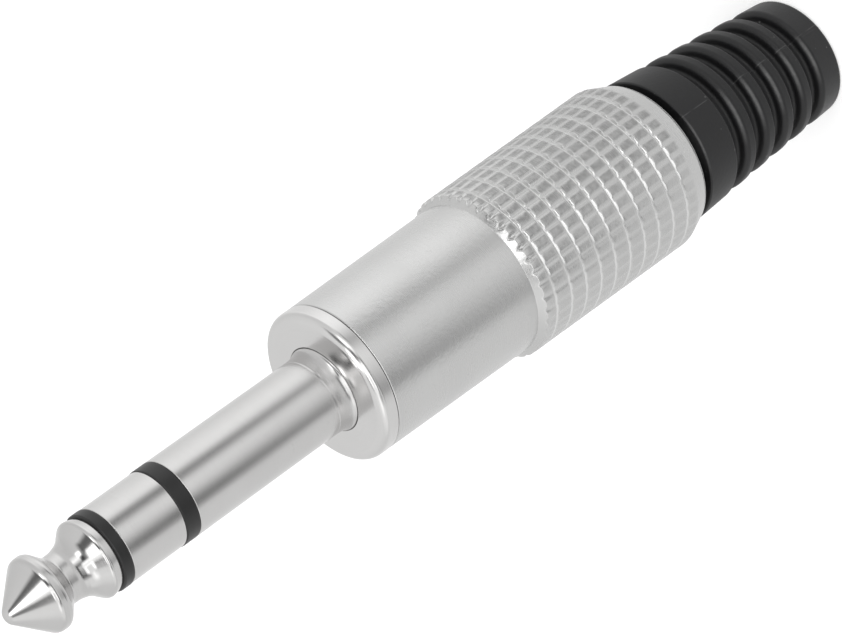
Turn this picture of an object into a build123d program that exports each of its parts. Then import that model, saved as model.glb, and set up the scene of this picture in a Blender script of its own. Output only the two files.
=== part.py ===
"""Stereo jack plug, 6.35 mm, with a screwed metal shell and a ribbed rubber boot.

The plug stands on the flat end of its boot. The origin is the middle of that end,
+Z runs up the axis to the tip, and every length is in millimetres.
"""
import os
from math import radians, sin, tan

from build123d import *

os.makedirs("parts", exist_ok=True)

# Lengths along the axis, from the floor up
boot_out = 17.7
shell_len = 33.4
nose_len = 1.5
pin_len = 30.5

# Contact pin, from the tip down
pin_r = 3.175
tip_len = 8.25
tip_collar_len = 0.9
ring_len = 4.9
ring_collar_len = 1.32
ring_relief = 0.05
tip_collar_relief = 0.03
cove_len = 1.4
boss_r = 3.47

# Ball of the tip contact
nose_ball_r = 0.93
cone_half_angle = 42.5
head_r = 2.99
head_back_r = 3.02
head_back = 3.54
neck_r = 1.94
neck_front = 4.8
neck_back = 6.07
bulge_r = 3.23
bulge_at = 7.28
tip_back_r = 2.85
tip_rounds = [0.64, 0.53, 0.76, 1.3, 0.8]

# Rod and tubes, one inside the next
rod_r = 0.9
inner_tube_wall = 0.4
ring_tube_wall = 0.45
outer_tube_wall = 0.5
nest_gap = 0.03

# Nose body and its thread
nose_r = 6.24
nose_round = 0.65
edge_break = 0.08
thread_r = 5.4
thread_len = 7.0
relief_len = 0.8
relief_depth = 0.5
boss_depth = 5.5
spigot_r = 2.85
fit_gap = 0.05

# Terminals behind the nose body
plate_t = 0.6
plate_r = 4.3
rim_t = 0.3
rim_over = 0.55
washer_t = 1.0
ring_washer_r = 3.5
tip_washer_r = 2.6
lug_t = 0.5
lug_w = 2.2
lug_root = 0.6
lug_hole_r = 0.55
ring_lug_r = 3.0
ring_lug_reach = 4.0
ring_lug_len = 6.6
tip_lug_r = 2.0
tip_lug_reach = 2.95
tip_lug_len = 6.0
rivet_r = 1.5
rivet_face_r = 1.05
rivet_h = 0.7

# Cord clamp
arm_w = 3.0
claw_clear = 0.4
trough_r = 3.15
trough_len = 7.0
claw_gap = 1.4
claw_top = 2.5

# Liner
liner_wall = 0.55
liner_end_gap = 0.25

# Shell
joint_gap = 0.04
shell_step_r = 6.43
grip_front_r = 6.98
grip_rear_r = 7.15
rim_r = 6.45
smooth_len = 14.5
step_len = 0.5
rim_bevel_len = 1.8
groove_count = 10
groove_first = 0.81
groove_pitch = 1.61
groove_w = 0.42
groove_depth = 0.3
flute_count = 40
flute_w = 0.36
flute_depth = 0.22
lip_t = 1.4
pocket_gap = 0.08

# Boot
boot_base_r = 6.3
boot_end_r = 5.08
boot_end_round = 0.6
boot_edge_round = 0.3
boot_neck_r = 5.1
boot_neck_show = 0.85
flange_r = 5.8
flange_t = 2.0
flange_bevel = 0.5
cord_r = 3.2
rib_cap_len = 2.55
rib_pitch = 2.42
rib_gap = 1.27
rib_count = 5
rib_depth = 0.75

# Heights worked out from the lengths
z_rim = boot_out
z_joint = z_rim + shell_len
z_face = z_joint + nose_len
z_tip = z_face + pin_len
z_tip_back = z_tip - tip_len
z_ring = z_tip_back - tip_collar_len
z_ring_back = z_ring - ring_len
z_sleeve = z_ring_back - ring_collar_len
z_body_back = z_joint - thread_len
z_plate = z_body_back - plate_t
z_ring_washer = z_plate - rim_t - washer_t
z_ring_lug = z_ring_washer - lug_t
z_tip_washer = z_ring_lug - rim_t - washer_t
z_tip_lug = z_tip_washer - lug_t
z_claw_top = z_ring_lug - ring_lug_len - claw_clear
z_arm_end = z_claw_top - trough_len
z_flange = z_rim + lip_t + fit_gap
z_boot_top = z_flange + flange_t
z_pocket = z_boot_top + fit_gap
z_base_top = z_rim - boot_neck_show

# Radii worked out from the nest of tubes and the fits
inner_tube_in = rod_r + nest_gap
inner_tube_out = inner_tube_in + inner_tube_wall
ring_bore_r = inner_tube_out + nest_gap
ring_tube_r = ring_bore_r + ring_tube_wall
outer_tube_in = ring_tube_r + nest_gap
outer_tube_out = outer_tube_in + outer_tube_wall
sleeve_bore_r = outer_tube_out + nest_gap
shell_bore_r = thread_r + fit_gap
liner_r = thread_r
liner_in = liner_r - liner_wall
lip_hole_r = boot_neck_r + fit_gap
pocket_r = flange_r + pocket_gap
arm_out = plate_r
arm_in = arm_out - plate_t
trough_y = -(arm_out - plate_t - trough_r)


def turned(*points, mode=Mode.ADD):
    """Revolve a closed outline of (radius, height) points about the axis."""
    with BuildSketch(Plane.XZ) as outline:
        with BuildLine():
            Polyline(*points, close=True)
        make_face()
    revolve(outline.sketch, axis=Axis.Z, mode=mode)


def tube(inner, outer, low, high, mode=Mode.ADD):
    """A plain tube between two heights, or a disc where the inner radius is 0."""
    turned((inner, low), (outer, low), (outer, high), (inner, high), mode=mode)


# Tip contact: ball, waist and shoulder turned in one piece with the rod behind it
with BuildPart() as tip_contact:
    cone = radians(cone_half_angle)
    ball_z = z_tip - nose_ball_r
    cone_top = nose_ball_r * (1 / sin(cone) - 1)
    cone_end = head_r / tan(cone) - cone_top
    with BuildSketch(Plane.XZ) as head:
        with BuildLine():
            ball = CenterArc((0, ball_z), nose_ball_r, 90, cone_half_angle - 90)
            side = FilletPolyline(
                ball @ 1,
                (head_r, z_tip - cone_end),
                (head_back_r, z_tip - head_back),
                (neck_r, z_tip - neck_front),
                (neck_r, z_tip - neck_back),
                (bulge_r, z_tip - bulge_at),
                (tip_back_r, z_tip_back),
                radius=tip_rounds,
            )
            Polyline(
                side @ 1,
                (rod_r, z_tip_back),
                (rod_r, z_tip_lug),
                (rivet_r, z_tip_lug),
                (rivet_face_r, z_tip_lug - rivet_h),
                (0, z_tip_lug - rivet_h),
                ball @ 0,
            )
        make_face()
    revolve(head.sketch, axis=Axis.Z)
tip_contact.part.label = "tip_contact"
export_step(tip_contact.part, "parts/tip_contact.step")

# Tip collar: the insulating ring between the tip and ring contacts
with BuildPart() as tip_collar:
    tube(inner_tube_in, pin_r - tip_collar_relief, z_ring, z_tip_back)
tip_collar.part.label = "tip_collar"
export_step(tip_collar.part, "parts/tip_collar.step")

# Inner tube: insulation between the rod and the ring contact's tube
with BuildPart() as inner_tube:
    tube(inner_tube_in, inner_tube_out, z_tip_washer + washer_t, z_ring)
inner_tube.part.label = "inner_tube"
export_step(inner_tube.part, "parts/inner_tube.step")

# Ring contact: the band and its long tube, flared over the ring lug
with BuildPart() as ring_contact:
    tube(ring_bore_r, pin_r - ring_relief, z_ring_back, z_ring)
    tube(ring_bore_r, ring_tube_r, z_ring_lug - rim_t, z_ring_back)
    tube(ring_bore_r, ring_tube_r + rim_over, z_ring_lug - rim_t, z_ring_lug)
ring_contact.part.label = "ring_contact"
export_step(ring_contact.part, "parts/ring_contact.step")

# Ring collar: the insulating ring between the ring and sleeve contacts
with BuildPart() as ring_collar:
    tube(outer_tube_in, pin_r, z_sleeve, z_ring_back)
ring_collar.part.label = "ring_collar"
export_step(ring_collar.part, "parts/ring_collar.step")

# Outer tube: insulation between the ring contact's tube and the sleeve
with BuildPart() as outer_tube:
    tube(outer_tube_in, outer_tube_out, z_plate - rim_t, z_sleeve)
outer_tube.part.label = "outer_tube"
export_step(outer_tube.part, "parts/outer_tube.step")

# Sleeve contact: shaft, coved boss in the nose body, and a spigot flared over the plate
with BuildPart() as sleeve_contact:
    z_boss_back = z_face - boss_depth
    with BuildSketch(Plane.XZ) as shaft:
        with BuildLine():
            cove = TangentArc(
                (pin_r, z_face + cove_len), (boss_r, z_face + edge_break), tangent=(0, -1)
            )
            Polyline(
                cove @ 1,
                (boss_r - edge_break, z_face),
                (boss_r, z_face - edge_break),
                (boss_r, z_boss_back),
                (spigot_r, z_boss_back),
                (spigot_r, z_plate),
                (spigot_r + rim_over, z_plate),
                (spigot_r + rim_over, z_plate - rim_t),
                (sleeve_bore_r, z_plate - rim_t),
                (sleeve_bore_r, z_sleeve),
                (pin_r, z_sleeve),
                cove @ 0,
            )
        make_face()
    revolve(shaft.sketch, axis=Axis.Z)
sleeve_contact.part.label = "sleeve_contact"
export_step(sleeve_contact.part, "parts/sleeve_contact.step")

# Nose body: flange that stops on the jack, and the threaded barrel behind it
with BuildPart() as nose_body:
    z_seat = z_face - boss_depth
    with BuildSketch(Plane.XZ) as body:
        with BuildLine():
            outline = FilletPolyline(
                (boss_r + nest_gap + edge_break, z_face),
                (nose_r, z_face),
                (nose_r, z_joint + edge_break),
                radius=nose_round,
            )
            Polyline(
                outline @ 1,
                (nose_r - edge_break, z_joint),
                (thread_r - relief_depth, z_joint),
                (thread_r - relief_depth, z_joint - relief_len),
                (thread_r, z_joint - relief_len - relief_depth),
                (thread_r, z_body_back + relief_depth),
                (thread_r - relief_depth, z_body_back),
                (spigot_r + nest_gap, z_body_back),
                (spigot_r + nest_gap, z_seat),
                (boss_r + nest_gap, z_seat),
                (boss_r + nest_gap, z_face - edge_break),
                outline @ 0,
            )
        make_face()
    revolve(body.sketch, axis=Axis.Z)
nose_body.part.label = "nose_body"
export_step(nose_body.part, "parts/nose_body.step")

# Cord clamp: sheet plate under the nose body, an arm, and two pairs of open claws
with BuildPart() as cord_clamp:
    trough_out = trough_r + plate_t
    tube(spigot_r + nest_gap, plate_r, z_plate, z_body_back)
    with BuildSketch(Plane.XY.offset(z_arm_end)):
        with Locations((0, -(arm_out + arm_in) / 2)):
            Rectangle(arm_w, plate_t)
    extrude(amount=z_body_back - z_arm_end)
    with BuildSketch(Plane.XY.offset(z_arm_end)):
        with Locations((0, trough_y)):
            Circle(trough_out)
        with Locations((0, (trough_y + claw_top) / 2)):
            Rectangle(2 * trough_out, claw_top - trough_y)
        with Locations((0, trough_y)):
            Circle(trough_r, mode=Mode.SUBTRACT)
        with Locations((0, (trough_y + claw_top) / 2)):
            Rectangle(2 * trough_r, claw_top - trough_y, mode=Mode.SUBTRACT)
        with Locations((0, claw_top + trough_out)):
            Rectangle(2 * trough_out, 2 * trough_out, mode=Mode.SUBTRACT)
    extrude(amount=trough_len)
    with BuildSketch(Plane.XY.offset(z_arm_end + (trough_len - claw_gap) / 2)):
        with Locations((0, claw_top - (claw_top + arm_in) / 2)):
            Rectangle(2 * trough_out, claw_top + arm_in)
    extrude(amount=claw_gap, mode=Mode.SUBTRACT)
cord_clamp.part.label = "cord_clamp"
export_step(cord_clamp.part, "parts/cord_clamp.step")

# Ring washer: insulation between the clamp plate and the ring lug
with BuildPart() as ring_washer:
    tube(ring_tube_r + nest_gap, ring_washer_r, z_ring_washer, z_plate - rim_t)
ring_washer.part.label = "ring_washer"
export_step(ring_washer.part, "parts/ring_washer.step")

# Ring lug: solder tag of the ring contact, bent back beside the axis
with BuildPart() as ring_lug:
    tube(ring_tube_r + nest_gap, ring_lug_r, z_ring_lug, z_ring_washer)
    with BuildSketch(Plane.XY.offset(z_ring_lug)):
        with Locations(((ring_lug_r - lug_root + ring_lug_reach) / 2, 0)):
            Rectangle(ring_lug_reach - ring_lug_r + lug_root, lug_w)
    extrude(amount=lug_t)
    with BuildSketch(Plane.XY.offset(z_ring_lug)):
        with Locations((ring_lug_reach - lug_t / 2, 0)):
            Rectangle(lug_t, lug_w)
    extrude(amount=-ring_lug_len)
    with BuildSketch(Plane.YZ.offset(ring_lug_reach - lug_t)):
        with Locations((0, z_ring_lug - ring_lug_len + lug_w / 2)):
            Circle(lug_hole_r)
    extrude(amount=lug_t, mode=Mode.SUBTRACT)
ring_lug.part.label = "ring_lug"
export_step(ring_lug.part, "parts/ring_lug.step")

# Tip washer: insulation between the ring contact's flare and the tip lug
with BuildPart() as tip_washer:
    tube(inner_tube_in, tip_washer_r, z_tip_washer, z_tip_washer + washer_t)
tip_washer.part.label = "tip_washer"
export_step(tip_washer.part, "parts/tip_washer.step")

# Tip lug: solder tag under the riveted end of the rod
with BuildPart() as tip_lug:
    tube(inner_tube_in, tip_lug_r, z_tip_lug, z_tip_washer)
    with BuildSketch(Plane.XY.offset(z_tip_lug)):
        with Locations((0, (tip_lug_r - lug_root + tip_lug_reach) / 2)):
            Rectangle(lug_w, tip_lug_reach - tip_lug_r + lug_root)
    extrude(amount=lug_t)
    with BuildSketch(Plane.XY.offset(z_tip_lug)):
        with Locations((0, tip_lug_reach - lug_t / 2)):
            Rectangle(lug_w, lug_t)
    extrude(amount=-tip_lug_len)
    with BuildSketch(Plane.XZ.offset(-tip_lug_reach)):
        with Locations((0, z_tip_lug - tip_lug_len + lug_w / 2)):
            Circle(lug_hole_r)
    extrude(amount=lug_t, mode=Mode.SUBTRACT)
tip_lug.part.label = "tip_lug"
export_step(tip_lug.part, "parts/tip_lug.step")

# Liner: insulating tube round the terminals
with BuildPart() as liner:
    tube(liner_in, liner_r, z_boot_top + liner_end_gap, z_body_back - liner_end_gap)
liner.part.label = "liner"
export_step(liner.part, "parts/liner.step")

# Shell: smooth front, stepped grip of fluted rows between ring grooves, lip round the boot
with BuildPart() as shell:
    z_shell_top = z_joint - joint_gap
    z_step = z_joint - smooth_len
    z_grip = z_step - step_len
    z_bevel = z_rim + rim_bevel_len
    groove_floor_r = grip_front_r - groove_depth
    turned(
        (shell_bore_r, z_shell_top),
        (nose_r - edge_break, z_shell_top),
        (nose_r, z_shell_top - edge_break),
        (shell_step_r, z_step),
        (groove_floor_r, z_step - (groove_floor_r - shell_step_r)),
        (groove_floor_r, z_bevel),
        (grip_rear_r, z_bevel),
        (rim_r, z_rim),
        (lip_hole_r, z_rim),
        (lip_hole_r, z_rim + lip_t),
        (pocket_r, z_rim + lip_t),
        (pocket_r, z_pocket),
        (shell_bore_r, z_pocket),
    )
    row_top = z_step
    for index in range(groove_count + 1):
        row_low = z_grip - groove_first - index * groove_pitch
        if index == groove_count:
            row_low = z_bevel
        along = (z_grip - (row_top + row_low) / 2) / (z_grip - z_bevel)
        row_r = grip_front_r + (grip_rear_r - grip_front_r) * along
        with BuildSketch(Plane.XY.offset(row_low)) as row:
            RegularPolygon(row_r, flute_count)
            with PolarLocations(row_r, flute_count):
                Polygon(
                    (-flute_depth, 0), (0, flute_w / 2), (0, -flute_w / 2),
                    align=(Align.MAX, Align.CENTER), mode=Mode.SUBTRACT,
                )
            Circle((groove_floor_r + shell_bore_r) / 2, mode=Mode.SUBTRACT)
        extrude(amount=row_top - row_low)
        row_top = row_low - groove_w
    turned(
        (shell_step_r, z_step),
        (grip_rear_r, z_step - (grip_rear_r - shell_step_r)),
        (grip_rear_r, z_step),
        mode=Mode.SUBTRACT,
    )
shell.part.label = "shell"
export_step(shell.part, "parts/shell.step")

# Boot: flange and neck held by the shell's lip, base band, and a ribbed tapering tail
with BuildPart() as boot:
    taper = (boot_base_r - boot_end_r) / z_base_top
    with BuildSketch(Plane.XZ) as tail:
        with BuildLine():
            end = FilletPolyline(
                (cord_r, 0), (boot_end_r, 0), (boot_base_r, z_base_top), (boot_neck_r, z_base_top),
                radius=[boot_end_round, boot_edge_round],
            )
            Polyline(
                end @ 1,
                (boot_neck_r, z_flange),
                (flange_r, z_flange),
                (flange_r, z_boot_top - flange_bevel),
                (flange_r - flange_bevel, z_boot_top),
                (cord_r, z_boot_top),
                end @ 0,
            )
        make_face()
    revolve(tail.sketch, axis=Axis.Z)
    for index in range(rib_count):
        z_low = rib_cap_len + index * rib_pitch
        z_high = z_low + rib_gap
        r_floor = boot_end_r + taper * (z_low + z_high) / 2 - rib_depth
        tube(r_floor, boot_base_r + rib_depth, z_low, z_high, mode=Mode.SUBTRACT)
boot.part.label = "boot"
export_step(boot.part, "parts/boot.step")
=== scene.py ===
"""Looks of the stereo jack plug: turned surfaces, a cut knurl, and metal, rubber and plastic.

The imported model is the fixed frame. Radii and heights are in millimetres here, and become
metres when a mesh is made. The plug stands on its boot with its tip up, about the Z axis.
"""

import math
from types import SimpleNamespace

import bpy
import numpy as np
from mathutils import Matrix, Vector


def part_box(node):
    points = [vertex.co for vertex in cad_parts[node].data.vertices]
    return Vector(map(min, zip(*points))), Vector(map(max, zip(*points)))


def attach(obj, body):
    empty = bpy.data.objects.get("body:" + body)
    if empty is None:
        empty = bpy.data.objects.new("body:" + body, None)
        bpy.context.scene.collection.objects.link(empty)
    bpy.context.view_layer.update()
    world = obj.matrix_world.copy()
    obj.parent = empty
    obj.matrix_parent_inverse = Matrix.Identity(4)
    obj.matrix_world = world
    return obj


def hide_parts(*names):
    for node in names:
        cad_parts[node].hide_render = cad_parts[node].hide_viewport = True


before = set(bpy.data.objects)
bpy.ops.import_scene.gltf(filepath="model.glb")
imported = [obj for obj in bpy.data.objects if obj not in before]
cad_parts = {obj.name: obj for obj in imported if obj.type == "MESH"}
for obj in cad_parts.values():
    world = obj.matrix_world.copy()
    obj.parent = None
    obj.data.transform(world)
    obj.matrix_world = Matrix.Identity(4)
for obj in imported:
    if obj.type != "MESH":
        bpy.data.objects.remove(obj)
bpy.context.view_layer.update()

bl_info = {
    "name": "Stereo Jack Plug",
    "version": (1, 0, 0),
    "blender": (4, 5, 0),
    "location": "View3D > Sidebar > Jack Plug",
    "description": "Builds the visible surfaces and finishes of a stereo jack plug",
    "category": "Object",
}

MM = 0.001


def low(node):
    """Lowest height of a CAD node, in millimetres."""
    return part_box(node)[0].z / MM


def high(node):
    """Highest height of a CAD node, in millimetres."""
    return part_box(node)[1].z / MM


def reach(node):
    """Largest radius of a round CAD node, in millimetres."""
    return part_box(node)[1].x / MM


Z_TIP = high("tip_contact")
Z_TIP_BACK = high("tip_collar")
Z_RING = low("tip_collar")
Z_RING_BACK = high("ring_collar")
Z_SLEEVE = low("ring_collar")
Z_FACE = high("nose_body")
Z_BODY_BACK = low("nose_body")
Z_SHELL = high("shell")
Z_RIM = low("shell")
Z_BOOT_TOP = high("boot")

# Radii of faces inside the plug, in millimetres, as the solids have them.
ROD_R = 0.9
RING_BORE_R = 1.36
RING_TUBE_R = 1.81
SLEEVE_BORE_R = 2.37
SLEEVE_TUBE_R = 2.85
SLEEVE_SEAT_R = 3.47
BODY_SEAT_R = 3.5
BODY_BORE_R = 2.88
SHELL_BORE_R = 5.45
LIP_R = 5.15
LIP_SEAT_R = 5.88

SEAT_DEPTH = 5.5  # from the nose's face to the shoulder that the sleeve contact is seated on
LIP = 1.4  # length of the lip inside the shell's rim, which holds the boot
LIP_SEAT = 3.5  # from the rim to the end of the boot's seat


# Properties: sizes, counts and colours that the panel shows.


def length(name, description, millimetres):
    """Length property with its default in millimetres, kept in metres."""
    return bpy.props.FloatProperty(
        name=name,
        description=description,
        default=millimetres * MM,
        min=0,
        precision=5,
        subtype="DISTANCE",
        unit="LENGTH",
    )


def tint(name, description, *colour):
    """Colour property."""
    return bpy.props.FloatVectorProperty(
        name=name, description=description, subtype="COLOR", default=colour, min=0, max=1
    )


def angle(name, description, degrees):
    """Angle property with its default in degrees, kept in radians."""
    return bpy.props.FloatProperty(
        name=name,
        description=description,
        default=math.radians(degrees),
        subtype="ANGLE",
        unit="ROTATION",
    )


def count(name, description, number):
    """Whole number of at least one."""
    return bpy.props.IntProperty(name=name, description=description, default=number, min=1)


def values(group):
    """A group's values by name: lengths in millimetres, and colours as plain tuples."""
    found = {}
    for key in group.__annotations__:
        value, shown = getattr(group, key), group.bl_rna.properties[key]
        if shown.subtype == "COLOR":
            value = tuple(value)
        elif shown.subtype == "DISTANCE":
            value = value / MM
        found[key] = value
    return SimpleNamespace(**found)


class PinSizes(bpy.types.PropertyGroup):
    """Sizes of the contact pin. Distances along it are from the very tip."""

    ball: length("Ball radius", "Round at the very tip", 0.93)
    cone: angle("Cone half angle", "Half angle of the tip's cone", 42.5)
    head: length("Head radius", "Radius where the cone ends", 2.99)
    head_back: length("Head's back radius", "Radius at the head's back edge", 3.02)
    head_at: length("Head's back", "From the tip to the head's back edge", 3.54)
    neck: length("Neck radius", "Radius at the neck's front", 1.93)
    neck_at: length("Neck", "From the tip to the neck's front", 4.6)
    neck_back: length("Neck's back radius", "Radius at the neck's back", 1.95)
    neck_end: length("Neck's end", "From the tip to the neck's back", 5.5)
    flare: length("Flare radius", "Radius midway up the flare to the bulge", 2.21)
    flare_at: length("Flare", "From the tip to the flare's middle", 6.42)
    bulge: length("Bulge radius", "Radius of the bulge behind the neck", 3.14)
    bulge_at: length("Bulge", "From the tip to the bulge", 7.45)
    back: length("Back radius", "Radius of the tip contact at its collar", 2.94)
    edge: length("Edge round", "Round on the edges of the ring and sleeve", 0.06)
    collar_edge: length("Collar edge round", "Round on the edges of the collars", 0.12)
    cove: length("Cove", "Length of the sleeve's flare into the nose", 1.4)
    cove_out: length("Cove height", "How far the flare rises from the sleeve", 0.295)


class NoseSizes(bpy.types.PropertyGroup):
    """Sizes of the nose's flange and of the screw thread behind it."""

    flange: length("Flange length", "Length of the visible flange", 1.5)
    flange_round: length("Flange round", "Round on the flange's front edge", 0.65)
    relief: length("Relief radius", "Radius between the flange and the thread", 4.9)
    relief_long: length("Relief length", "Length of the relief behind the flange", 0.8)
    run_out: length("Run out", "Length of the cone from the relief up to the thread", 0.5)
    thread: length("Thread radius", "Outer radius of the thread", 5.4)
    thread_pitch: length("Thread pitch", "From one turn of the thread to the next", 1.0)
    thread_depth: length("Thread depth", "Depth of the thread", 0.42)


class ShellSizes(bpy.types.PropertyGroup):
    """Sizes of the shell and its knurled grip."""

    smooth: length("Smooth front", "Length of the smooth front", 14.5)
    step: length("Step radius", "Radius where the grip's front bevel starts", 6.43)
    bevel: length("Front bevel", "Length of the grip's front bevel", 0.46)
    grip_front: length("Grip's front radius", "Radius at the front of the grip", 6.98)
    rim: length("Rim radius", "Radius at the rear rim", 6.45)
    rim_bevel: length("Rear bevel", "Length of the rear bevel", 1.8)
    flutes: count("Flutes", "Number of lengthwise flutes", 40)
    flute_width: length("Flute width", "Width of one flute", 0.6)
    flute_depth: length("Flute depth", "Depth of one flute", 0.11)
    grooves: count("Grooves", "Number of ring grooves", 10)
    groove_first: length("First groove", "From the grip's front to the first groove", 1.02)
    groove_pitch: length("Groove pitch", "From one ring groove to the next", 1.61)
    groove_width: length("Groove width", "Width of one ring groove", 0.36)
    groove_depth: length("Groove depth", "Depth of one ring groove", 0.22)


class BootSizes(bpy.types.PropertyGroup):
    """Sizes of the rubber boot and its ribs."""

    show: length("Gap", "Neck that shows between the shell's rim and the boot", 0.85)
    end: length("End radius", "Radius at the cord's end", 5.08)
    hole: length("Cord hole radius", "Radius of the hole for the cord", 3.2)
    cap: length("End cap", "Length of the plain cap at the end", 2.55)
    pitch: length("Rib pitch", "From one rib to the next", 2.42)
    gap: length("Gap between ribs", "Width of one gap", 1.27)
    depth: length("Rib depth", "Depth of the gaps between the ribs", 0.95)
    ribs: count("Gaps", "Number of gaps between the ribs", 5)
    rib_front: length("Rib front round", "Round on the ribs' edges towards the tip", 0.46)
    rib_back: length("Rib back round", "Round on the ribs' edges towards the cord", 0.24)
    lean: length("Lean", "How far the soft end leans to one side", 0.32)
    seam: length("Seam height", "Height of the fine moulding seam on both sides", 0.035)
    seam_at: angle("Seam angle", "Angle of the moulding seam about the axis", 98.0)


class PlugColours(bpy.types.PropertyGroup):
    """Colours of the finishes."""

    nickel: tint("Polished nickel", "Tip contact", 0.63, 0.625, 0.62)
    nose: tint("Nose nickel", "Nose flange and its screw thread", 0.70, 0.695, 0.69)
    satin: tint("Satin nickel", "Ring and sleeve contacts", 0.63, 0.625, 0.62)
    shell: tint("Shell nickel", "Turned satin shell", 0.63, 0.63, 0.625)
    rubber: tint("Rubber", "Boot", 0.006, 0.006, 0.0065)
    collar: tint("Collar", "Insulating collars", 0.008, 0.008, 0.008)
    clamp: tint("Clamp", "Plated cord clamp", 0.70, 0.69, 0.66)
    lug: tint("Lugs", "Tinned solder lugs", 0.78, 0.78, 0.77)
    board: tint("Washers", "Brown insulating washers", 0.30, 0.17, 0.09)
    tube: tint("Tubes", "Insulating tubes", 0.80, 0.78, 0.72)
    liner: tint("Liner", "Liner inside the shell", 0.82, 0.82, 0.78)


# Shapes: outlines and surfaces of revolution.


def rounded(corners, steps=6, support=0.02, closed=True):
    """Outline through (radius, height, round) corners, each turned into a tangent arc.

    An arc runs from a point t before the corner P to a point t after it, t being the round
    over the tangent of half the angle between the sides, and at most 0.48 of the shorter
    side. It is the rational curve ((1-u)^2 A + 2u(1-u)w P + u^2 B) / ((1-u)^2 + 2u(1-u)w + u^2)
    with w the sine of that half angle. One more point a little way out on each side keeps
    the shading of the flats flat. An open outline keeps its two end points as they are.
    """
    table = np.array(corners, float)
    point, size = table[:, :2], np.maximum(table[:, 2:], 0.004)
    before, after = np.roll(point, 1, 0) - point, np.roll(point, -1, 0) - point
    length_a = np.linalg.norm(before, axis=1, keepdims=True)
    length_b = np.linalg.norm(after, axis=1, keepdims=True)
    before, after = before / length_a, after / length_b
    half = np.arccos(np.clip((before * after).sum(1, keepdims=True), -1, 1)) / 2
    shorter = np.minimum(length_a, length_b)
    back = np.minimum(size / np.tan(half), 0.48 * shorter)
    out = np.minimum(back + support, 0.49 * shorter)
    u = np.linspace(0, 1, steps + 1)[None, :, None]
    weight = np.sin(half)[:, :, None]
    start, end = (point + before * back)[:, None], (point + after * back)[:, None]
    arc = (1 - u) ** 2 * start + 2 * u * (1 - u) * weight * point[:, None] + u**2 * end
    arc = arc / ((1 - u) ** 2 + 2 * u * (1 - u) * weight + u**2)
    arc = np.concatenate([(point + before * out)[:, None], arc, (point + after * out)[:, None]], 1)
    if closed:
        return arc.reshape(-1, 2)
    return np.concatenate([point[:1], arc[1:-1].reshape(-1, 2), point[-1:]])


def wall(radius, start, end, rows):
    """Rows of one radius from the start height to the end height, both left out."""
    heights = np.linspace(start, end, rows + 2)[1:-1]
    return np.stack([np.full(rows, radius), heights], -1)


def lathe(name, outline, columns=128, relief=None, angles=None, lean=None):
    """Surface of revolution about Z with the outline's (radius, height) points as its rows.

    A point is (r cos a + s, r sin a, z), where r is the outline's radius less the relief, a
    function of the angle a and the row's radius and height, and s is the lean at that
    height. An outline whose two ends lie on the axis is closed there by one vertex and a
    fan, and any other outline closes on itself. Rows run anticlockwise in the plane of
    radius and height, so faces point outwards.
    """
    radius, height = outline[:, 0], outline[:, 1]
    area = np.sum(radius * np.roll(height, -1) - np.roll(radius, -1) * height)
    if area < 0:
        radius, height = radius[::-1], height[::-1]
    if angles is None:
        angles = np.arange(columns) * (2 * np.pi / columns)
    columns = len(angles)
    poles = radius[0] == 0 and radius[-1] == 0
    inner = slice(1, -1) if poles else slice(None)
    turn, base = np.meshgrid(angles, radius[inner])
    rise = np.repeat(height[inner][:, None], columns, 1)
    shown = base - relief(turn, base, rise) if relief else base
    aside = lean(rise) if lean else 0
    grid = np.stack([shown * np.cos(turn) + aside, shown * np.sin(turn), rise], -1)
    rows = len(grid)
    index = np.arange(rows * columns).reshape(rows, columns)
    if not poles:
        index = np.vstack([index, index[:1]])
    here, across = index, np.roll(index, -1, 1)
    quads = np.stack([here[:-1], across[:-1], across[1:], here[1:]], -1).reshape(-1, 4)
    points, faces = grid.reshape(-1, 3), quads.tolist()
    if poles:
        ends = np.array([[0, 0, height[0]], [0, 0, height[-1]]])
        points = np.concatenate([points, ends])
        first, last = rows * columns, rows * columns + 1
        fan = np.stack([np.full(columns, first), across[0], here[0]], -1)
        cap = np.stack([np.full(columns, last), here[-1], across[-1]], -1)
        faces += fan.tolist() + cap.tolist()
    return piece(name, points, faces)


def piece(name, points, faces):
    """New smooth-shaded object at the origin from points in millimetres and its faces."""
    mesh = bpy.data.meshes.new(name)
    mesh.from_pydata((points * MM).tolist(), [], faces)
    mesh.polygons.foreach_set("use_smooth", np.ones(len(faces), bool))
    mesh.validate()
    mesh.update()
    made = bpy.data.objects.new(name, mesh)
    bpy.context.scene.collection.objects.link(made)
    return made


def place(made, finish, body, node):
    """Give a new piece its finish and its body, and let it stand for a CAD node."""
    made.data.materials.append(finish)
    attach(made, body)
    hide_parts(node)


# Finishes: node materials, written as sums of wires.


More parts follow.
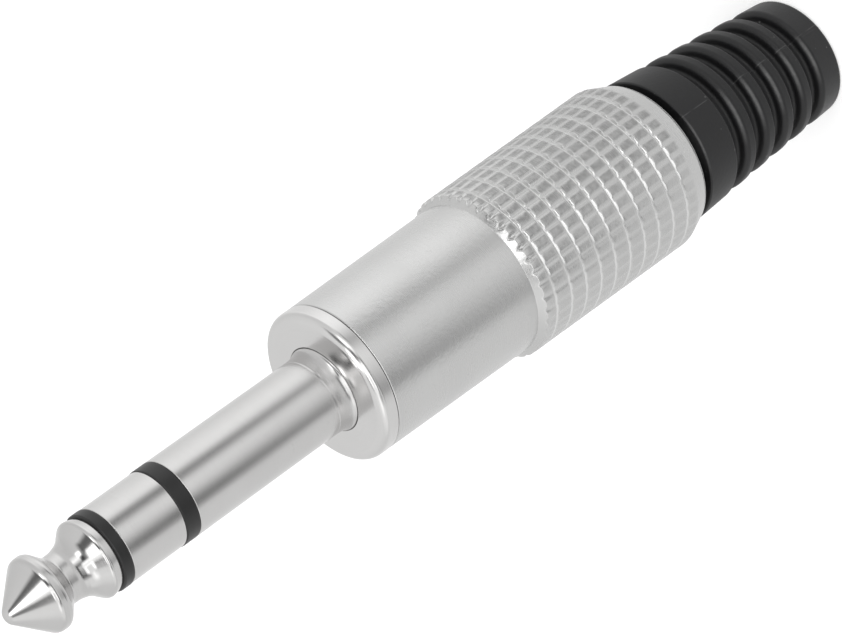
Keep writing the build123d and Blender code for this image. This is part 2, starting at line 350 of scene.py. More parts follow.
class Wire:
    """A node's output. Arithmetic on wires and numbers adds the Math nodes for it."""

    def __init__(self, sheet, socket):
        self.sheet = sheet
        self.socket = socket

    def math(self, operation, *terms):
        """Math node of this operation on the terms, in order."""
        return self.sheet.node("ShaderNodeMath", {"operation": operation}, dict(enumerate(terms)))

    def output(self, name):
        """Another output of the same node."""
        return Wire(self.sheet, self.socket.node.outputs[name])

    def clamped(self):
        """The value, kept between 0 and 1."""
        return self.sheet.node("ShaderNodeClamp", {}, {0: self})

    def past(self, edge, slope):
        """Mask: 0 up to the edge, and past it growing to 1 by the slope for each unit."""
        return ((self - edge) * slope).clamped()

    def short_of(self, edge, slope):
        """Mask: 0 from the edge on, and short of it growing to 1 by the slope for each unit."""
        return ((edge - self) * slope).clamped()

    def __add__(self, other):
        return self.math("ADD", self, other)

    def __sub__(self, other):
        return self.math("SUBTRACT", self, other)

    def __rsub__(self, other):
        return self.math("SUBTRACT", other, self)

    def __mul__(self, other):
        return self.math("MULTIPLY", self, other)

    def __truediv__(self, other):
        return self.math("DIVIDE", self, other)

    def __pow__(self, other):
        return self.math("POWER", self, other)

    def __abs__(self):
        return self.math("ABSOLUTE", self)

    __radd__ = __add__
    __rmul__ = __mul__


class Sheet:
    """The node tree of one finish, filled by one method for every kind of node."""

    def __init__(self, tree):
        self.tree = tree
        self.tree.nodes.clear()

    def node(self, kind, settings, sockets, out=0):
        """Add a node: its settings first, then each socket's value or link, and give an output."""
        made = self.tree.nodes.new(kind)
        for key, value in settings.items():
            if key == "stops":
                ramp = made.color_ramp.elements
                while len(ramp) < len(value):
                    ramp.new(0.5)
                for stop, (position, grey) in zip(ramp, value):
                    stop.position = position
                    stop.color = (grey, grey, grey, 1)
            else:
                setattr(made, key, value)
        for key, value in sockets.items():
            if isinstance(value, Wire):
                self.tree.links.new(value.socket, made.inputs[key])
            else:
                made.inputs[key].default_value = value
        return Wire(self, made.outputs[out]) if made.outputs else None

    def ramp(self, value, *stops):
        """Grey ramp of a value through (position, shade) stops."""
        return self.node("ShaderNodeValToRGB", {"stops": stops}, {"Fac": value})

    def mix(self, mask, first, second):
        """Colour that goes from first to second as the mask goes from 0 to 1."""
        ends = [end if isinstance(end, Wire) else (*end, 1) for end in (first, second)]
        sockets = {0: mask, 6: ends[0], 7: ends[1]}
        return self.node("ShaderNodeMix", {"data_type": "RGBA"}, sockets, out=2)

    def noise(self, vector, scale, detail, rough):
        """Noise of a vector, about 0 to 1."""
        return self.node(
            "ShaderNodeTexNoise",
            {},
            {"Vector": vector, "Scale": scale, "Detail": detail, "Roughness": rough},
        )

    def bump(self, value, distance):
        """Normal bent by a height in metres times the value."""
        return self.node("ShaderNodeBump", {}, {"Height": value, "Distance": distance})

    def split(self, vector):
        """The X, Y and Z of a vector."""
        x = self.node("ShaderNodeSeparateXYZ", {}, {0: vector})
        return x, x.output("Y"), x.output("Z")

    def join(self, x, y, z):
        """Vector of three values."""
        return self.node("ShaderNodeCombineXYZ", {}, {0: x, 1: y, 2: z})

    def position(self, kind="Object"):
        """Position on the object, or another output of Texture Coordinate."""
        return self.node("ShaderNodeTexCoord", {}, {}, out=kind)

    def place(self):
        """Object position, distance from the axis, height, and direction round the axis.

        The distance is the root of x^2 + y^2, and the direction x over that distance.
        """
        spot = self.position()
        x, y, z = self.split(spot)
        radius = (x * x + y * y) ** 0.5
        return spot, radius, z, x / radius

    def bearing(self, x, y):
        """Direction about the Z axis in degrees, 0 on the camera's side and positive towards X."""
        return x.math("ARCTAN2", x, y * -1.0) * (180 / math.pi)

    def rings(self, radius, z, around, pitch, along=2.0, detail=4.0):
        """Noise stretched round the axis, as the rings that a tool leaves on a lathe."""
        stretched = self.join(radius * (1 / pitch), z * (1 / pitch), around * along)
        return self.noise(stretched, 1.0, detail, 0.6)


def finish_sheet(name):
    """New material and its empty sheet."""
    made = bpy.data.materials.new(name)
    made.use_nodes = True
    return made, Sheet(made.node_tree)


def shade(sheet, sockets):
    """End the sheet with a surface shader that has these socket values and links."""
    shader = sheet.node("ShaderNodeBsdfPrincipled", {}, sockets)
    sheet.node("ShaderNodeOutputMaterial", {}, {"Surface": shader})


def darker(colour, share):
    """The colour times a share."""
    return tuple(part * share for part in colour)


def pad_mask(sheet, spot, first, pitch, flutes, top, bottom):
    """Two masks of the knurl, both 0 above and below it: of its pads, and of its ring grooves.

    The flutes lie where the cosine of the angle times their number is 1, and the grooves
    where the depth below the first, over their pitch, is a whole number. Noise makes the
    edges of the pads uneven.
    """
    x, y, z = sheet.split(spot)
    across = x.math("COSINE", x.math("ARCTAN2", y, x) * flutes)
    height = z * (1 / MM)
    phase = height.math("FRACT", (first - height) * (1 / pitch) + 20.0)
    along = 0.5 - abs(phase - 0.5)
    within = height.short_of(top, 3.0) * height.past(bottom, 3.0)
    worn = sheet.noise(spot, 1900.0, 3.0, 0.7) - 0.5
    beside_flutes = ((0.7 - across) * 1.3 + worn).clamped()
    beside_grooves = ((along - 0.09) * 9.0 + worn).clamped()
    return beside_flutes * beside_grooves * within, along.short_of(0.085, 16.0) * within


def turned_metal(name, colour, roughness, ring_depth, ring_pitch, fleck, cloud=0.3, pads=None):
    """Turned and plated metal: fine rings round the axis, soft clouds in the gloss, and flecks.

    The ring depth and pitch are in metres, the cloud is the share of the roughness that
    varies, and the fleck is how strong the flecks are. On a knurl the tops of the pads get
    painted shade, mottled at random and much fainter round the side of negative X, and the
    ring grooves get a paler colour as a painted highlight.
    """
    made, sheet = finish_sheet(name)
    spot, radius, z, around = sheet.place()
    rings = sheet.rings(radius, z, around, ring_pitch)
    soft = sheet.noise(spot, 260.0, 3.0, 0.55)
    pits = sheet.ramp(sheet.noise(spot, 2600.0, 2.0, 0.5), (0.66, 0.0), (0.76, 1.0))
    gloss = roughness * (1 - cloud) + (rings * 0.9 + soft * 1.1) * (roughness * cloud)
    tone = sheet.mix(soft * 0.35 + rings * 0.25 + pits * fleck, colour, darker(colour, 0.82))
    height = rings + soft * 0.4 - pits * fleck
    if pads:
        tops, grooves = pad_mask(sheet, spot, *pads)
        mottle = sheet.noise(spot, 2300.0, 2.0, 0.6)
        # Painted shade: the pad tops are darkened towards 0.54 of the colour, mottled at random,
        # and only a fifth as much round the side of negative X.
        shade_by_side = around.past(-0.45, 2.0) * 0.8 + 0.2
        painted_pad_shade = tops * shade_by_side * (mottle * 1.3 + 0.15)
        tone = sheet.mix(painted_pad_shade, tone, darker(colour, 0.54))
        # Painted highlight: the ring grooves get a paler colour.
        tone = sheet.mix(grooves, tone, (0.76, 0.76, 0.755))
        gloss = gloss + grooves * 0.05
        height = height + mottle * (tops * 5.0 + 5.0)
    normal = sheet.bump(height, ring_depth)
    shade(sheet, {"Base Color": tone, "Metallic": 1.0, "Roughness": gloss, "Normal": normal})
    return made


def sheet_metal(name, colour, roughness):
    """Stamped and plated sheet: rolled grain along the height, and a few scuff marks."""
    made, sheet = finish_sheet(name)
    spot = sheet.position()
    stretched = sheet.node("ShaderNodeMapping", {}, {"Vector": spot, "Scale": (1.0, 1.0, 0.08)})
    grain = sheet.noise(stretched, 5200.0, 3.0, 0.6)
    soft = sheet.noise(spot, 420.0, 3.0, 0.5)
    tone = sheet.mix(soft * 0.6, colour, darker(colour, 0.78))
    gloss = roughness + grain * 0.12 + soft * 0.12
    normal = sheet.bump(grain + soft * 0.5, 0.000012)
    shade(sheet, {"Base Color": tone, "Metallic": 1.0, "Roughness": gloss, "Normal": normal})
    return made


def moulded_plastic(name, colour, roughness, depth):
    """Turned or extruded plastic: faint rings of this depth, and soft change of tone and gloss."""
    made, sheet = finish_sheet(name)
    spot, radius, z, around = sheet.place()
    rings = sheet.rings(radius, z, around, 0.0004, 1.0, 3.0)
    soft = sheet.noise(spot, 500.0, 3.0, 0.5)
    tone = sheet.mix(soft * 0.8, colour, darker(colour, 0.72))
    gloss = roughness + rings * 0.1 + soft * 0.08
    normal = sheet.bump(rings + soft, depth)
    shade(sheet, {"Base Color": tone, "Roughness": gloss, "Normal": normal})
    return made


def boot_rubber(name, colour, roughness, first, pitch, last, seam):
    """Moulded rubber: fine pitted skin, dusty specks, and a paler bloom in broad patches.

    The ribs' edges towards the tip, which repeat with the pitch from the first height, and
    the base's edge at the last height get a painted highlight, a pale line round one side
    only, and the moulding seam is pale here and there. The distance to an edge along the
    boot is the distance of (height - first) / pitch from a whole number, times the pitch. The
    seam lies in the plane through the axis at the seam's angle, so the distance to it is
    x sin - y cos.
    """
    made, sheet = finish_sheet(name)
    spot, _, z, around = sheet.place()
    x, y = sheet.split(spot)[:2]
    height = z * (1 / MM)
    skin = sheet.noise(spot, 3600.0, 3.0, 0.6)
    bloom = sheet.noise(spot, 180.0, 3.0, 0.55)
    dust = sheet.ramp(sheet.noise(spot, 1500.0, 2.0, 0.4), (0.68, 0.0), (0.74, 1.0))
    specks = sheet.ramp(sheet.noise(spot, 2100.0, 1.0, 0.3), (0.785, 0.0), (0.82, 1.0))
    bloomed = sheet.mix(bloom * 0.5 + dust * 0.28, colour, darker(colour, 2.2))
    # Painted highlight: a pale line along each rib's edge towards the tip and along the base's
    # edge, round one side only; the moulding seam gets pale marks here and there.
    phase = height.math("FRACT", (height - first) * (1 / pitch) + 20.0)
    ribs_only = height.past(last - 3.0, 9.0)
    to_rib = (0.5 - abs(phase - 0.5)) * pitch + ribs_only
    line = to_rib.short_of(0.16, 8.0) + abs(height - last).short_of(0.13, 9.0)
    side = around.short_of(0.2, 4.0) * around.past(-0.66, 3.0)
    to_seam = abs(x * math.sin(seam) - y * math.cos(seam)) * (1 / MM)
    torn = sheet.ramp(sheet.noise(spot, 420.0, 2.0, 0.5), (0.48, 0.0), (0.56, 1.0))
    highlight_and_seam = line * side * (skin * 0.8 + 0.35) + to_seam.short_of(0.06, 16.0) * torn * 0.45
    # The painted highlight lines and the pale seam marks go over to a pale grey.
    highlit_and_seamed = sheet.mix(highlight_and_seam, bloomed, (0.10, 0.10, 0.10))
    tone = sheet.mix(specks, highlit_and_seamed, (0.09, 0.09, 0.09))
    sockets = {
        "Base Color": tone,
        "Specular IOR Level": 0.4,
        "Roughness": roughness + bloom * 0.14 - skin * 0.06,
        "Normal": sheet.bump(skin + bloom * 0.6, 0.000012),
    }
    shade(sheet, sockets)
    return made


# Operators: one for each group of pieces, and one for the stage.


class JACK_OT_tip(bpy.types.Operator):
    """Tip contact: ball, cone, waist and bulge, with the rod behind and its riveted end"""

    bl_idname = "jack.tip"
    bl_label = "Tip contact"

    def execute(self, context):
        size = values(context.scene.jack_pin)
        turn = np.linspace(math.pi / 2, size.cone, 14)
        ball = size.ball * np.stack([np.cos(turn), np.sin(turn) - 1], -1) + [0, Z_TIP]
        ball[0, 0] = 0
        apex = Z_TIP + size.ball * (1 / math.sin(size.cone) - 1)
        cone_end = apex - size.head / math.tan(size.cone)
        z_rivet, z_end = low("tip_lug"), low("tip_contact")
        side = rounded(
            [
                (*ball[-1], 0),
                (size.head, cone_end, 0.64),
                (size.head_back, Z_TIP - size.head_at, 0.53),
                (size.neck, Z_TIP - size.neck_at, 0.35),
                (size.neck_back, Z_TIP - size.neck_end, 2.0),
                (size.flare, Z_TIP - size.flare_at, 2.0),
                (size.bulge, Z_TIP - size.bulge_at, 0.4),
                (size.back, Z_TIP_BACK, 0.04),
                (ROD_R, Z_TIP_BACK, 0.02),
                (ROD_R, z_rivet, 0.02),
                (1.5, z_rivet, 0.02),
                (1.05, z_end, 0.15),
                (0, z_end, 0),
            ],
            steps=12,
            closed=False,
        )
        made = lathe("tip_turned", np.concatenate([ball, side[1:]]), 192)
        finish = turned_metal(
            "polished_nickel",
            values(context.scene.jack_colours).nickel,
            roughness=0.13,
            ring_depth=0.0000012,
            ring_pitch=0.00009,
            fleck=0.2,
            cloud=0.35,
        )
        place(made, finish, "plug", "tip_contact")
        return {"FINISHED"}


class JACK_OT_contacts(bpy.types.Operator):
    """Ring and sleeve contacts with their long tubes, and the two insulating collars"""

    bl_idname = "jack.contacts"
    bl_label = "Ring and sleeve contacts"

    def execute(self, context):
        size, colours = values(context.scene.jack_pin), values(context.scene.jack_colours)
        ring_r, sleeve_r = reach("ring_contact"), reach("ring_collar")
        z_flare, flare_r, flare_thick = low("ring_contact"), RING_TUBE_R + 0.55, 0.3
        ring = rounded(
            [
                (RING_BORE_R, z_flare, 0.02),
                (flare_r, z_flare, 0.08),
                (flare_r, z_flare + flare_thick, 0.08),
                (RING_TUBE_R, z_flare + flare_thick, 0.05),
                (RING_TUBE_R, Z_RING_BACK, 0.02),
                (ring_r, Z_RING_BACK, size.edge),
                (ring_r, Z_RING, size.edge),
                (RING_BORE_R, Z_RING, 0.02),
            ]
        )
        z_end, z_seat, z_cove = low("sleeve_contact"), Z_FACE - SEAT_DEPTH, Z_FACE + 0.08
        rivet_r, rivet_thick = 3.4, 0.3
        turn = np.linspace(0, math.pi / 2, 14)[1:-1]
        cove = np.stack([size.cove_out * (1 - np.cos(turn)), size.cove * (1 - np.sin(turn))], -1)
        sleeve = rounded(
            [
                (SLEEVE_SEAT_R, Z_FACE, 0.06),
                (SLEEVE_SEAT_R, z_seat, 0.05),
                (SLEEVE_TUBE_R, z_seat, 0.05),
                (SLEEVE_TUBE_R, z_end + rivet_thick, 0.05),
                (rivet_r, z_end + rivet_thick, 0.1),
                (rivet_r, z_end, 0.1),
                (SLEEVE_BORE_R, z_end, 0.03),
                (SLEEVE_BORE_R, Z_SLEEVE, 0.02),
                (sleeve_r, Z_SLEEVE, size.edge),
                (sleeve_r, z_cove + size.cove, 0.0),
            ]
        )
        sleeve = np.concatenate([sleeve, cove + [sleeve_r, z_cove]])
        metal = turned_metal(
            "satin_nickel",
            colours.satin,
            roughness=0.2,
            ring_depth=0.0000022,
            ring_pitch=0.00007,
            fleck=0.25,
        )
        for name, outline, node in (
            ("ring_turned", ring, "ring_contact"),
            ("sleeve_turned", sleeve, "sleeve_contact"),
        ):
            place(lathe(name, outline, 160), metal, "plug", node)
        black = moulded_plastic("collar_plastic", colours.collar, roughness=0.32, depth=0.000003)
        for node, bore_r in (("tip_collar", 0.93), ("ring_collar", 1.84)):
            outer = reach(node)
            collar = rounded(
                [
                    (bore_r, low(node), 0.02),
                    (outer, low(node), size.collar_edge),
                    (outer, high(node), size.collar_edge),
                    (bore_r, high(node), 0.02),
                ]
            )
            place(lathe(node + "_turned", collar, 128), black, "plug", node)
        return {"FINISHED"}


class JACK_OT_nose(bpy.types.Operator):
    """Nose body: polished flange, and a threaded barrel behind it"""

    bl_idname = "jack.nose"
    bl_label = "Nose body"

    def execute(self, context):
        size = values(context.scene.jack_nose)
        flange_r = reach("nose_body")
        z_joint = Z_FACE - size.flange
        z_relief = z_joint - size.relief_long
        top, bottom = z_relief - size.run_out, Z_BODY_BACK + size.run_out
        before = [
            (BODY_BORE_R, Z_BODY_BACK, 0.03),
            (size.relief, Z_BODY_BACK, 0.1),
            (size.thread, bottom, 0.02),
        ]
        after = [
            (size.thread, top, 0.02),
            (size.relief, z_relief, 0.05),
            (size.relief, z_joint, 0.05),
            (flange_r, z_joint, 0.1),
            (flange_r, Z_FACE, size.flange_round),
            (BODY_SEAT_R, Z_FACE, 0.08),
            (BODY_SEAT_R, Z_FACE - SEAT_DEPTH, 0.05),
            (BODY_BORE_R, Z_FACE - SEAT_DEPTH, 0.05),
        ]
        steps = 10
        front = rounded(before + after, steps)
        cut = len(before) * (steps + 3)
        barrel = wall(size.thread, bottom, top, 82)
        outline = np.concatenate([front[:cut], barrel, front[cut:]])

        def helix(turn, base, rise):
            """V thread: the depth falls with the distance to the nearest turn's root.

            The root lies half a pitch above each turn, and both ends of the thread fade out
            over 0.4 mm.
            """
            phase = (rise / size.thread_pitch - turn / (2 * np.pi)) % 1.0
            depth = np.clip(1 - np.abs(phase - 0.5) * 2.5, 0, 1) * size.thread_depth
            fade = np.clip(np.minimum(top - rise, rise - bottom) / 0.4, 0, 1)
            return depth * fade * (np.abs(base - size.thread) < 0.01)

        made = lathe("nose_turned", outline, 160, helix)
        finish = turned_metal(
            "bright_nickel",
            values(context.scene.jack_colours).nose,
            roughness=0.19,
            ring_depth=0.0000022,
            ring_pitch=0.00008,
            fleck=0.2,
        )
        place(made, finish, "plug", "nose_body")
        return {"FINISHED"}


class JACK_OT_shell(bpy.types.Operator):
    """Shell: smooth front, and a knurled grip of ring grooves crossed by flutes"""

    bl_idname = "jack.shell"
    bl_label = "Shell"

    def execute(self, context):
        size = values(context.scene.jack_shell)
        rear_r, front_r = reach("shell"), reach("nose_body")
        z_step = Z_SHELL + 0.04 - size.smooth
        z_grip, z_bevel = z_step - size.bevel, Z_RIM + size.rim_bevel
        centres = z_grip - size.groove_first - size.groove_pitch * np.arange(size.grooves)
        # Rows of the grip: across each groove, on each pad, at the front bevel, where the pads
        # begin behind it, and along the rear bevel.
        across = np.linspace(-0.6, 0.6, 9) * size.groove_width
        on_pads = size.groove_pitch * np.array([0.36, 0.5, 0.64])
        begin = np.array([0.1, 0.06, 0.03, 0.0, -0.03, -0.07, -0.13, -0.22, -0.35, -0.5])
        levels = np.concatenate(
            [
                (centres[:, None] + across).ravel(),
                (centres[:-1, None] - on_pads).ravel(),
                z_step - np.array([0, 0.02, 0.04, 0.15, 0.26]),
                z_grip + begin,
                np.linspace(z_bevel + 0.3, Z_RIM + 0.12, 12),
            ]
        )
        levels = np.unique(np.round(levels, 4))[::-1]
        grip = np.stack([np.full(len(levels), rear_r), levels], -1)
        z_front = Z_SHELL - 0.12
        slope = (size.step - front_r) / (Z_SHELL - z_step)
        smooth = wall(front_r, z_front, z_step + 0.02, 12)
        smooth[:, 0] += (Z_SHELL - smooth[:, 1]) * slope
        smooth = np.concatenate([smooth, [[size.step, z_step + 0.06], [size.step, z_step + 0.02]]])
        inside = rounded(
            [
                (size.rim, Z_RIM, 0.08),
                (LIP_R, Z_RIM, 0.1),
                (LIP_R, Z_RIM + LIP, 0.05),
                (LIP_SEAT_R, Z_RIM + LIP, 0.05),
                (LIP_SEAT_R, Z_RIM + LIP_SEAT, 0.05),
                (SHELL_BORE_R, Z_RIM + LIP_SEAT, 0.1),
                (SHELL_BORE_R, Z_SHELL, 0.05),
                (front_r, Z_SHELL, 0.1),
            ]
        )
        outline = np.concatenate([smooth, grip, inside])

        def knurl(turn, base, rise):
            """How far the surface lies inside the grip's rear radius, for every angle and height.

            The pad radius runs straight from the front to the rear one, and is cut by the
            deeper of a flute, a cosine of the distance round to the nearest one, and a ring
            groove, a cosine of the distance along, both to the power 1.5. A flute is up to
            three times as deep where it runs out at the front, and both are shallower where
            handling has worn the grip, round the side of negative X. The pads' edges fall off
            with the square of the distance from their middle. The front and rear cones cut
            through all of them.
            """
            along = np.clip((z_grip - rise) / (z_grip - z_bevel), 0, 1)
            pad = size.grip_front + (rear_r - size.grip_front) * along
            pitch = 2 * np.pi * pad / size.flutes
            off = np.abs((turn * size.flutes / (2 * np.pi) + 0.5) % 1 - 0.5) * pitch
            gap = np.abs(rise[..., None] - centres).min(-1)
            run_out = 1 + 2 * np.exp(-(((z_grip - rise) / 0.3) ** 2))
            worn = np.clip((np.cos(turn) + 0.45) * 2, 0, 1) * 0.7 + 0.3
            flute, groove = [
                np.cos(np.clip(distance / width, 0, 0.5) * np.pi) ** 1.5 * depth
                for distance, width, depth in (
                    (off, size.flute_width, size.flute_depth * run_out),
                    (gap, size.groove_width, size.groove_depth),
                )
            ]
            pillow = 0.02 * (1 - off / (pitch / 2)) ** 2
            shown = pad - np.maximum(flute, groove) * worn - pillow
            steep = (size.grip_front - size.step) / size.bevel
            front = size.step + np.maximum(z_step - rise, 0) * steep
            rear = size.rim + (rise - Z_RIM) * (rear_r - size.rim) / size.rim_bevel
            shown = np.minimum(np.minimum(shown, front), rear)
            gripped = (base > rear_r - 0.05) & (rise < z_step + 0.01)
            return np.where(gripped, base - shown, 0)

        steps = np.array([-0.5, -0.36, -0.25, -0.17, -0.08, 0.0, 0.08, 0.17, 0.25, 0.36])
        angles = ((np.arange(size.flutes)[:, None] + steps) * (2 * np.pi / size.flutes)).ravel()
        made = lathe("shell_turned", outline, relief=knurl, angles=angles)
        finish = turned_metal(
            "shell_nickel",
            values(context.scene.jack_colours).shell,
            roughness=0.27,
            ring_depth=0.000003,
            ring_pitch=0.00008,
            fleck=0.3,
            pads=(centres[0], size.groove_pitch, size.flutes, z_grip - 0.1, z_bevel - 0.2),
        )
        place(made, finish, "shell", "shell")
        return {"FINISHED"}


class JACK_OT_boot(bpy.types.Operator):
    """Boot: flange and neck inside the shell, base band, and rounded ribs to the cord hole"""

    bl_idname = "jack.boot"
    bl_label = "Rubber boot"

    def execute(self, context):
        size = values(context.scene.jack_boot)
        z_base, base_r = Z_RIM - size.show, reach("boot")
        neck_r, held_r, z_held = LIP_R - 0.05, LIP_SEAT_R - 0.08, Z_RIM + LIP + 0.05
        taper = (base_r - size.end) / z_base
        corners = [(size.hole, 0, 0.15), (size.end, 0, 0.3)]
        for index in range(size.ribs):
            z_low = size.cap + index * size.pitch
            z_high = z_low + size.gap
            floor = size.end + taper * (z_low + z_high) / 2 - size.depth
            corners += [
                (size.end + taper * z_low, z_low, size.rib_front),
                (floor, z_low + 0.1, 0.3),
                (floor, z_high - 0.1, 0.3),
                (size.end + taper * z_high, z_high, size.rib_back),
            ]
        corners += [
            (base_r, z_base, 0.15),
            (neck_r, z_base, 0.05),
            (neck_r, z_held, 0.05),
            (held_r, z_held, 0.1),
            (held_r, Z_BOOT_TOP - 0.5, 0.1),
            (held_r - 0.5, Z_BOOT_TOP, 0.1),
            (size.hole, Z_BOOT_TOP, 0.1),
        ]

        def lean(rise):
            """Sideways shift of the soft ribs: the share of the way down to the power 1.2."""
            return -size.lean * np.clip((z_base - rise) / z_base, 0, 1) ** 1.2

        seams = size.seam_at + np.array([0, math.pi])
        fine = np.radians([-1.4, -0.9, -0.45, 0, 0.45, 0.9, 1.4])
        even = np.linspace(0, 2 * np.pi, 193)[:-1]
        even = even[np.abs(even[:, None] - seams).min(1) > fine[-1] + 0.01]
        angles = np.sort(np.concatenate([even, (seams[:, None] + fine).ravel()]))

        def seam(turn, base, rise):
            """Bell-shaped ridge, 0.1 mm wide, where the two halves of the mould met.

            Its height falls with e to minus the square of the distance round over 0.06 mm.
            """
            off = np.abs(turn[..., None] - seams).min(-1) * base
            return -size.seam * np.exp(-((off / 0.06) ** 2)) * (base > size.hole + 0.5)

        outline = rounded(corners, steps=8)
        made = lathe("boot_moulded", outline, relief=seam, angles=angles, lean=lean)
        finish = boot_rubber(
            "rubber",
            values(context.scene.jack_colours).rubber,
            roughness=0.42,
            first=size.cap - 0.1,
            pitch=size.pitch,
            last=z_base - 0.1,
            seam=size.seam_at,
        )
        place(made, finish, "boot", "boot")
        return {"FINISHED"}


class JACK_OT_inner_parts(bpy.types.Operator):
    """Finishes of the parts inside: clamp, lugs, washers, tubes and liner"""

    bl_idname = "jack.inner_parts"
    bl_label = "Inner parts"

    def execute(self, context):
        colours = values(context.scene.jack_colours)
        lug = sheet_metal("tinned_sheet", colours.lug, 0.30)
        board = moulded_plastic("brown_board", colours.board, 0.6, 0.00001)
        tube = moulded_plastic("white_tube", colours.tube, 0.4, 0.000005)
        finishes = {
            "cord_clamp": sheet_metal("plated_sheet", colours.clamp, 0.22),
            "liner": moulded_plastic("white_liner", colours.liner, 0.35, 0.000006),
            "ring_lug": lug,
            "tip_lug": lug,
            "ring_washer": board,
            "tip_washer": board,
            "inner_tube": tube,
            "outer_tube": tube,
        }
        for name, finish in finishes.items():
            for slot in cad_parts[name].material_slots:
                slot.material = finish
        return {"FINISHED"}


class JACK_OT_stage(bpy.types.Operator):
    """Pale floor, soft light, dark cards for the metal to reflect, and the camera"""

    bl_idname = "jack.stage"
    bl_label = "Stage, light and camera"

    def execute(self, context):
        scene = context.scene
        scene.view_settings.view_transform = "Standard"
        build_floor()
        build_card()
        build_world(scene)
        build_lamps()
        build_camera(scene)
        return {"FINISHED"}


def glowing(sheet, level):
    """Emission of white light at this level."""
    return sheet.node("ShaderNodeEmission", {}, {"Color": (1, 1, 1, 1), "Strength": level})


def build_floor():
    """Pale floor of matt paper, which glows for camera, glossy and transmitted rays alone."""
    half_side = 3000.0
    corners = np.array([(-1, -1, 0), (1, -1, 0), (1, 1, 0), (-1, 1, 0)]) * half_side
    made = piece("floor", corners, [(0, 1, 2, 3)])
    material, sheet = finish_sheet("floor_paper")
    paper_grain = sheet.noise(sheet.position(), 30.0, 2.0, 0.5)
    tone = sheet.mix(paper_grain, (0.54,) * 3, (0.58,) * 3)
    paper = sheet.node("ShaderNodeBsdfDiffuse", {}, {"Color": tone})
    rays = sheet.node("ShaderNodeLightPath", {}, {}, out="Is Camera Ray")
    seen = (rays + rays.output("Is Glossy Ray") + rays.output("Is Transmission Ray")).clamped()
    both = sheet.node("ShaderNodeAddShader", {}, {0: paper, 1: glowing(sheet, seen * 0.5)})
    sheet.node("ShaderNodeOutputMaterial", {}, {"Surface": both})
    made.data.materials.append(material)


# Levels of the reflector card by direction round the plug: (degrees, level).
FAR_LEVELS = (
    (-180, 0.95), (-75, 0.92), (-62, 0.85), (-52, 0.20), (-40, 0.10), (-30, 0.27),
    (-18, 0.76), (-6, 1.10), (10, 1.16), (20, 0.96), (30, 0.28), (40, 0.05),
    (48, 0.42), (58, 1.25), (70, 1.32), (100, 1.13), (140, 0.98), (180, 0.93),
)
NEAR_LEVELS = (
    (-180, 0.87), (-60, 0.90), (-50, 0.84), (-42, 0.49), (-34, 0.49), (-20, 0.66),
    (-4, 0.86), (10, 1.00), (22, 0.98), (32, 0.80), (40, 0.54), (46, 0.74),
    (54, 0.96), (68, 1.20), (84, 1.28), (100, 1.18), (130, 0.95), (180, 0.87),
)


def build_card():
    """Round reflector card on the floor, which only glossy rays see.

    Its level follows the direction round the plug, from the camera's side at 0 degrees: pale
    all round, with a dark gap to each side of the camera's line, so that every wall of the
    plug shows two dark lines along it. The gaps bend by an eighth of a degree for each
    millimetre nearer than 161, up to 15 degrees, as flags do that stand a little aside. The
    level goes over to the near table from 158 inwards and from 169 outwards, and to one even
    level inside 70 and outside 200.
    """
    columns = 96
    turn = np.arange(columns) * (2 * np.pi / columns)
    ring = np.stack([np.cos(turn), np.sin(turn), 0 * turn], -1)
    points = np.concatenate([ring * 8.0, ring * 2900.0]) + [0, 0, 0.4]
    here = np.arange(columns)
    following = np.roll(here, -1)
    faces = np.stack([here, here + columns, following + columns, following], -1).tolist()
    made = piece("reflector_card", points, faces)
    material, sheet = finish_sheet("reflector_paper")
    x, y = sheet.split(sheet.position())[:2]
    away = ((x * x + y * y) ** 0.5) * (1 / MM)
    direction = sheet.bearing(x, y) + away.short_of(161.0, 1 / 120) * 15.0
    share = direction * (1 / 360) + 0.5
    far, near = [
        sheet.ramp(share, *[(at / 360 + 0.5, level / 2) for at, level in levels])
        for levels in (FAR_LEVELS, NEAR_LEVELS)
    ]
    pale = away.short_of(158.0, 1 / 60) + away.past(169.0, 1 / 14)
    level = (far + (near - far) * pale) * 2.0
    even = away.past(200.0, 1 / 120) + away.short_of(70.0, 1 / 25)
    level = level + (0.85 - level) * even
    sheet.node("ShaderNodeOutputMaterial", {}, {"Surface": glowing(sheet, level)})
    made.data.materials.append(material)
    made.visible_camera = False
    made.visible_diffuse = False
    made.visible_shadow = False


# Boxes and flags of the tent: (azimuth, elevation, half width, half height, soft edge, level).
BOXES = (
    (-66, 27, 39.5, 33.4, 18.7, 1.08),
    (12, 7, 23.3, 17.9, 19.8, 1.70),
    (-22, 6, 33.6, 34.0, 20.7, 0.05),
    (10, 37, 22.9, 10.4, 6.5, 0.33),
    (-23, 33, 22.5, 22.0, 12.7, 2.60),
    (-11, 49, 6.4, 38.9, 10.2, 1.45),
    (52, 50, 22.8, 12.6, 14.4, 0.16),
    (-62, 31, 20.1, 7.8, 15.8, 1.69),
    (-42, 60, 16.7, 5.6, 10.5, 0.16),
    (16, 70, 22.6, 14.5, 9.2, 2.60),
    (-34, 32, 15.3, 13.2, 7.1, 1.18),
    (14, 30, 9.0, 8.0, 6.0, 0.06),
    (37, 24, 9.0, 9.0, 6.0, 2.60),
    (16, 74, 24.0, 8.0, 8.0, 5.0),
)


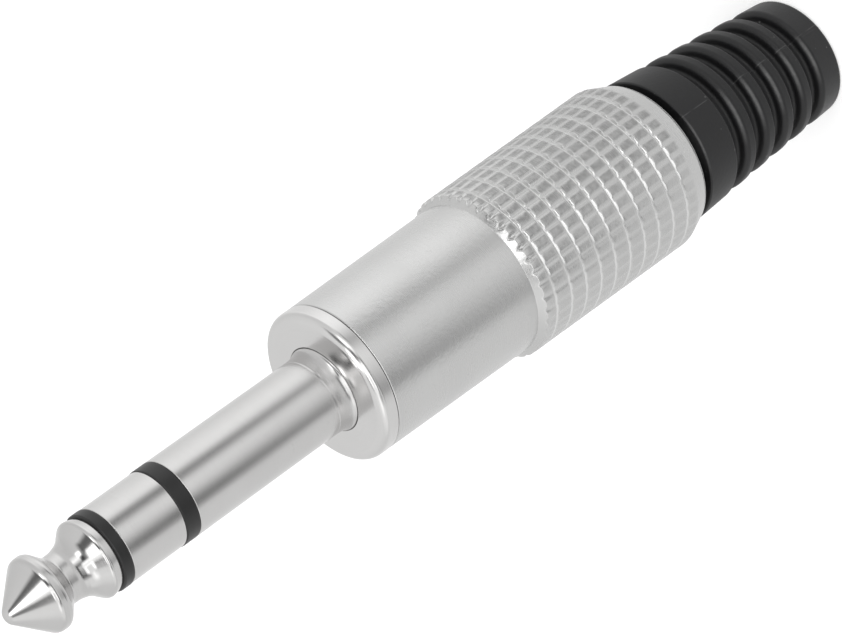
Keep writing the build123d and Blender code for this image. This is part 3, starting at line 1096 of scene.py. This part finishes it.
def build_world(scene):
    """Pale tent with soft boxes and dark flags.

    A box is its azimuth, from the camera's side, its elevation, half its width, half its
    height, the width of its soft edge, all in degrees, and its level. It covers the
    directions whose azimuth and elevation both lie within it.
    """
    world = bpy.data.worlds.new("soft_tent")
    scene.world = world
    world.use_nodes = True
    sheet = Sheet(world.node_tree)
    x, y, z = sheet.split(sheet.position("Generated"))
    turn = sheet.bearing(x, y)
    rise = z.math("ARCSINE", z) * (180 / math.pi)
    level = 0.81 + z * 0.17 - x * 0.01
    for azimuth, elevation, wide, tall, soft, value in BOXES:
        across = abs(turn - azimuth).short_of(wide + soft / 2, 1 / soft)
        along = abs(rise - elevation).short_of(tall + soft / 2, 1 / soft)
        level = level + (value - level) * (across * along)
    glow = sheet.node("ShaderNodeBackground", {}, {"Color": (1, 1, 1, 1), "Strength": level})
    sheet.node("ShaderNodeOutputWorld", {}, {"Surface": glow})


def build_lamps():
    """One broad soft lamp above and a small one at the side, for form and the floor shadow."""
    middle = np.array([0, 0, 0.04])
    for name, spot, side, power in (
        ("lamp_top", (-0.05, -0.35, 0.9), 0.5, 1.6),
        ("lamp_side", (0.45, -0.45, 0.35), 0.3, 0.5),
    ):
        data = bpy.data.lights.new(name, "AREA")
        data.shape = "SQUARE"
        data.size = side
        data.energy = power
        made = bpy.data.objects.new(name, data)
        bpy.context.scene.collection.objects.link(made)
        made.matrix_world = looking(spot, np.array(spot) - middle)
        made.visible_glossy = False


def looking(spot, back):
    """Place at spot, with local Z along back and local X level."""
    z = back / np.linalg.norm(back)
    x = np.cross([0, 0, 1.0], z)
    x = x / np.linalg.norm(x)
    return pose(x, np.cross(z, x), z, spot)


def pose(x, y, z, spot):
    """Matrix with these three directions as its axes, placed at spot."""
    rows = np.stack([x, y, z, np.array(spot, float)], 1)
    return Matrix([*rows.tolist(), [0, 0, 0, 1]])


PHOTO_WIDTH = 843  # pixels
FOCAL = 3500  # pixels
CAMERA_RISE = (0.51222, 0.85885)  # sine and cosine of the height above level
CAMERA_ROLL = (-0.8116, -0.5843)  # sine and cosine of the roll
TIP_SEEN = (-28.3643, -20.574, 238.3083)  # the tip from the camera: right, up, ahead


def build_camera(scene):
    """Camera at the fitted place: 30.8 degrees above level, rolled so the plug lies aslant.

    It looks along +Y and down, and is rolled about that line. Its place is the tip less
    the way from the camera to the tip along its three axes.
    """
    data = bpy.data.cameras.new("camera")
    data.sensor_width = 36.0
    data.lens = FOCAL / PHOTO_WIDTH * data.sensor_width
    data.clip_start = 0.01
    made = bpy.data.objects.new("camera", data)
    scene.collection.objects.link(made)
    (sine, cosine), (roll_sine, roll_cosine) = CAMERA_RISE, CAMERA_ROLL
    level, rising = np.array([1.0, 0, 0]), np.array([0, sine, cosine])
    right = roll_cosine * level + roll_sine * rising
    up = roll_cosine * rising - roll_sine * level
    ahead = np.array([0, cosine, -sine])
    way = TIP_SEEN @ np.stack([right, up, ahead])
    made.matrix_world = pose(right, up, -ahead, ([0, 0, Z_TIP] - way) * MM)
    scene.camera = made


class JACK_PT_panel(bpy.types.Panel):
    """Lists the plug's sizes and colours, and the operators that build it"""

    bl_idname = "JACK_PT_panel"
    bl_label = "Stereo Jack Plug"
    bl_space_type = "VIEW_3D"
    bl_region_type = "UI"
    bl_category = "Jack Plug"

    def draw(self, context):
        for name, kind in GROUPS.items():
            column = self.layout.box().column()
            for key in kind.__annotations__:
                column.prop(getattr(context.scene, name), key)
        for kind in OPERATORS:
            self.layout.operator(kind.bl_idname)


GROUPS = {
    "jack_pin": PinSizes,
    "jack_nose": NoseSizes,
    "jack_shell": ShellSizes,
    "jack_boot": BootSizes,
    "jack_colours": PlugColours,
}
OPERATORS = (
    JACK_OT_tip,
    JACK_OT_contacts,
    JACK_OT_nose,
    JACK_OT_shell,
    JACK_OT_boot,
    JACK_OT_inner_parts,
    JACK_OT_stage,
)


def register():
    """Register the classes, and give the scene one group of properties of each kind."""
    for kind in (*GROUPS.values(), *OPERATORS, JACK_PT_panel):
        bpy.utils.register_class(kind)
    for name, kind in GROUPS.items():
        setattr(bpy.types.Scene, name, bpy.props.PointerProperty(type=kind))


def unregister():
    """Undo what register did, in the opposite order."""
    for name in GROUPS:
        delattr(bpy.types.Scene, name)
    for kind in (JACK_PT_panel, *reversed(OPERATORS), *reversed(tuple(GROUPS.values()))):
        bpy.utils.unregister_class(kind)


def main():
    register()
    for kind in OPERATORS:
        section, name = kind.bl_idname.split(".")
        getattr(getattr(bpy.ops, section), name)()


if __name__ == "__main__":
    main()
